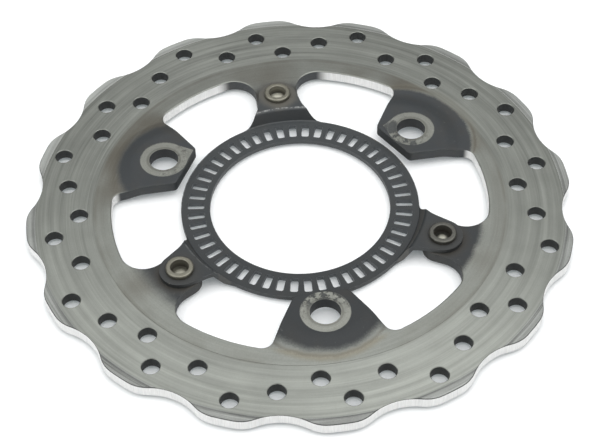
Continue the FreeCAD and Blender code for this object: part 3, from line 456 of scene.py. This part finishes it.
def ring_material():
    """Slate coating, rubbed on its edges, with dust round the rivets."""
    g = Graph("ring_coating")
    blotch = g.noise(0.16, 3.0, seed=21.0, lift=False)
    grain = g.noise(2.2, 4.0, 0.6, seed=22.0, lift=False)
    rivet = g.nearest([(FIXING, degrees) for degrees in RIVETS])
    wall = g.step(g.upright, 0.75, 0.35)
    # painted shade: the coating is painted darker towards -Y and lighter towards +Y
    colour = g.shade(g.mix(g.step(blotch, 0.0, 0.8) * 0.3, RING_COATING, GRIME),
                     1.0 + grain * 0.16 + blotch * 0.10 + g.y * 0.0035)
    edge = g.step(g.worn_edge(0.35), 0.15, 0.65)
    rubbed = g.both(edge, g.step(g.noise(0.5, 4.0, 0.6, seed=23.0), 0.40, 0.66))
    colour = g.mix(rubbed * 0.40, colour, RING_RUBBED)
    dirt = g.step(rivet + blotch * 2.0 + grain * 0.8, 10.5, 6.0)
    dust = g.mix(g.around((90.0, 0.8)), *RING_DUST)
    colour = g.mix(dirt * (g.around((90.0, 0.35)) + 0.45), colour, dust)

    # the step up to the ears, painted dark as shade and, at 330 and 210, lighter as painted light; and a
    # painted highlight in broken lines along its bends
    slope = g.both(wall, g.step(g.radius, JOGGLE[0] - 0.4, JOGGLE[0]),
                   g.step(g.radius, JOGGLE[1] + 0.5, JOGGLE[1]))
    # painted shade on the step, lightened at 330 and 210 as painted light
    shade = g.mix(g.around((330.0, 1.0), (210.0, 0.6)), PAINTED_SHADE_BLACK, SLOPE_PAINTED_LIGHT)
    colour = g.mix(slope * 0.7, colour, shade)
    # painted highlight along the crest of the ears' bend
    bend = g.both(g.band(g.radius + blotch * 0.2, EAR_BEND, 0.55), g.step(g.z, 4.3, 4.7),
                  g.step(g.noise(0.5, 4.0, 0.65, seed=25.0), 0.42, 0.56),
                  g.around((90.0, 0.8), (210.0, 0.25)))
    colour = g.mix(bend, colour, RING_BEND_HIGHLIGHT)
    # painted highlight along the ring's outer edge beside the tabs at 150 and 30
    lip = g.both(g.band(g.radius + grain * 0.1, RING_EDGE, 0.45),
                 g.step(g.noise(0.4, 4.0, 0.6, seed=26.0), 0.38, 0.56),
                 g.around((150.0, 0.75), (30.0, 0.6)))
    colour = g.mix(lip, colour, g.mix(g.around((30.0, 1.0)), *RING_LIP_HIGHLIGHT))

    specks = g.both(g.step(g.cells(0.22), 0.10, 0.05), g.step(g.noise(0.3, 2.0, seed=24.0), 0.52, 0.6))
    colour = g.mix(specks * 0.5, colour, RING_SPECKS)
    # painted light: the slots' walls are painted lighter than the coating
    slot_wall = g.both(wall, g.step(g.radius, SLOTS[0] - 0.5, SLOTS[0]),
                       g.step(g.radius, SLOTS[1] + 0.5, SLOTS[1]))
    colour = g.mix(slot_wall, colour, SLOT_WALL_PAINTED_LIGHT)
    rough = 0.46 + grain * 0.07 + dirt * 0.14
    height = grain * 0.010 + blotch * 0.02 + dirt * grain * 0.03
    # painted sheen: the specular level rises towards +Y
    return g.finish(colour, rubbed * 0.35, rough, height, specular=g.y * 0.0015 + 0.54)


def rivet_material():
    """Yellowed zinc: painted shade in the hollow and, with some grime, at the rim's foot; a painted
    highlight with pale dust on the hollow's floor.
    """
    g = Graph("rivet_zinc")
    near = g.nearest([(FIXING, degrees) for degrees in RIVETS])
    blotch = g.noise(0.45, 3.0, seed=31.0, lift=False)
    grain = g.noise(2.2, 4.0, 0.65, seed=32.0, lift=False)
    turned = g.noise(1.0, 3.0, 0.6, g.combine(near * 4.0, g.x * 0.10, g.y * 0.10), 33.0, lift=False)
    plating = g.mix(g.step(blotch, -0.3, 0.8) * 0.5, ZINC, ZINC_DULL)
    plating = g.mix(g.around((330.0, 0.7)), plating, ZINC_GREY)
    colour = g.shade(plating, 1.0 + grain * 0.30 + turned * 0.12 + g.around((330.0, -0.42), (90.0, 0.05)))
    wall = g.step(g.upright, 0.55, 0.2)
    above = g.step(g.z, 0.5, 1.5)
    recess = g.both(g.step(near, RIVET_BORE + 0.12, RIVET_BORE - 0.05), above)
    painted_shade_wall = g.both(wall, recess)
    foot = g.both(g.step(near, *RIVET_RIM), g.step(g.z, 6.1, 5.2), above)
    corner = g.both(g.band(near + blotch * 0.3, RIVET_BORE - 0.1, 1.1), g.step(g.z, 5.2, 4.4), above)
    # painted shade on the hollow's wall and bottom corner; at the rim's foot it is partly grime and
    # partly painted shade
    colour = g.mix(g.either(painted_shade_wall * 0.75, foot * 0.85, corner * 0.8), colour, GRIME)
    pool = g.both(recess, 1.0 - painted_shade_wall, 1.0 - corner * 0.8)
    # painted highlight on the hollows' floors, with pale dust at 90
    dust_and_highlight = g.around((90.0, 0.95), (210.0, 0.20)) + g.step(near, 2.2, 0.6) * g.around((330.0, 0.6))
    colour = g.mix(pool * dust_and_highlight, colour, HOLLOW_DUST_AND_HIGHLIGHT)
    rust = g.step(g.noise(0.9, 4.0, 0.7, seed=34.0), 0.60, 0.72)
    colour = g.mix(rust * 0.45, colour, RUST)
    metallic = 1.0 - g.either(painted_shade_wall, foot, corner, rust, pool * g.around((90.0, 0.6))) * 0.75
    rough = 0.46 + grain * 0.10 + blotch * 0.05
    height = grain * 0.030 + turned * 0.008 - rust * 0.02
    return g.finish(colour, metallic, rough, height)


def floor_material():
    """Pale matt paper, lit a little from below as on a light table."""
    g = Graph("floor_paper")
    tone = g.noise(0.01, 2.0, seed=41.0, lift=False)
    fibres = g.noise(1.2, 3.0, seed=42.0, lift=False)
    return g.finish(g.shade(PAPER, 1.0 + tone * 0.01), 0.0, 0.85, fibres * 0.01, specular=0.2,
                    glow=PAPER_GLOW)


# ---- pieces ----

def dress(node, material):
    """Gives a CAD node one material."""
    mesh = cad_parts[node].data
    mesh.materials.clear()
    mesh.materials.append(material)


dress("brake_disc", disc_material())
dress("tone_ring", ring_material())
zinc = rivet_material()
for number in (1, 2, 3):
    dress("rivet_%d" % number, zinc)


# ---- floor, lights, camera ----

BOX_DISTANCE = 1.25     # m, from the disc's centre
SOFT_BOXES = (          # name, azimuth, elevation, size m, watts
    ("overhead", 90.0, 84.0, 2.0, 12.2),
    ("right", 318.0, 60.0, 1.8, 13.0),
    ("back", 90.0, 55.0, 1.5, 3.0),
    ("low_right", 0.0, 35.0, 1.3, 2.2),
    ("low_left", 190.0, 38.0, 1.3, 8.4),
)


def make_floor(level, reach):
    """A round sheet of pale paper under the disc."""
    mesh = bpy.data.meshes.new("floor")
    shape = bmesh.new()
    bmesh.ops.create_circle(shape, cap_ends=True, radius=reach, segments=96)
    shape.to_mesh(mesh)
    shape.free()
    floor = bpy.data.objects.new("floor", mesh)
    floor.location = (0, 0, level)
    mesh.materials.append(floor_material())
    bpy.context.scene.collection.objects.link(floor)


def soft_box(name, azimuth, elevation, size, watts):
    """A square area light that looks at the disc's centre."""
    light = bpy.data.lights.new(name, "AREA")
    light.shape, light.size, light.energy = "SQUARE", size, watts
    lamp = bpy.data.objects.new(name, light)
    around, up = math.radians(azimuth), math.radians(elevation)
    away = Vector((math.cos(around) * math.cos(up), math.sin(around) * math.cos(up), math.sin(up)))
    lamp.location = away * BOX_DISTANCE
    lamp.rotation_mode = "QUATERNION"
    lamp.rotation_quaternion = away.to_track_quat("Z", "Y")
    bpy.context.scene.collection.objects.link(lamp)


def make_world(front):
    """A white studio that adds only weak light, from low down on the -Y side."""
    world = bpy.data.worlds.new("studio")
    world.use_nodes = True
    tree = world.node_tree

    def node(kind, **settings):
        made = tree.nodes.new(kind)
        for name, value in settings.items():
            setattr(made, name, value)
        return made

    def ramp(value, *limits):
        made = node("ShaderNodeMapRange", interpolation_type="SMOOTHSTEP")
        tree.links.new(value, made.inputs["Value"])
        for name, limit in zip(("From Min", "From Max", "To Min", "To Max"), limits):
            made.inputs[name].default_value = limit
        return made.outputs[0]

    towards = node("ShaderNodeSeparateXYZ")
    tree.links.new(node("ShaderNodeTexCoord").outputs["Generated"], towards.inputs[0])
    fill = node("ShaderNodeMath", operation="MULTIPLY")
    tree.links.new(ramp(towards.outputs["Y"], -0.8, 0.8, front, 0.0), fill.inputs[0])
    tree.links.new(ramp(towards.outputs["Z"], 0.35, 1.0, 1.0, 0.0), fill.inputs[1])
    level = node("ShaderNodeMix", data_type="FLOAT")
    tree.links.new(node("ShaderNodeLightPath").outputs["Is Camera Ray"], level.inputs[0])
    tree.links.new(fill.outputs[0], level.inputs[2])
    level.inputs[3].default_value = 1.0
    background = tree.nodes["Background"]
    background.inputs["Color"].default_value = (1.0, 1.0, 1.0, 1.0)
    tree.links.new(level.outputs[0], background.inputs["Strength"])
    bpy.context.scene.world = world


def make_camera(aim, azimuth, elevation, roll, distance, lens):
    """A camera that looks at aim. Azimuth 0 looks along +Y; roll turns the picture anticlockwise."""
    around, up = math.radians(azimuth), math.radians(elevation)
    ahead = Vector((math.sin(around) * math.cos(up), math.cos(around) * math.cos(up), -math.sin(up)))
    right = Vector((math.cos(around), -math.sin(around), 0.0))
    above = right.cross(ahead)
    turn = Matrix.Rotation(math.radians(-roll), 3, ahead)
    right, above = turn @ right, turn @ above
    data = bpy.data.cameras.new("camera")
    data.lens, data.sensor_width = lens, 36.0
    data.clip_start, data.clip_end = 0.01, 20.0
    camera = bpy.data.objects.new("camera", data)
    axes = Matrix((right, above, -ahead)).transposed()
    camera.matrix_world = Matrix.Translation(Vector(aim) - ahead * distance) @ axes.to_4x4()
    bpy.context.scene.collection.objects.link(camera)
    bpy.context.scene.camera = camera


make_floor(cad_box[0].z - 0.02 * MM, reach=4.0)
make_world(front=0.20)
for soft in SOFT_BOXES:
    soft_box(*soft)
make_camera((-0.00198, -0.01220, 0.00288), azimuth=8.45, elevation=48.32, roll=-1.07,
            distance=0.6179, lens=93.05)
bpy.context.scene.view_settings.view_transform = "Standard"
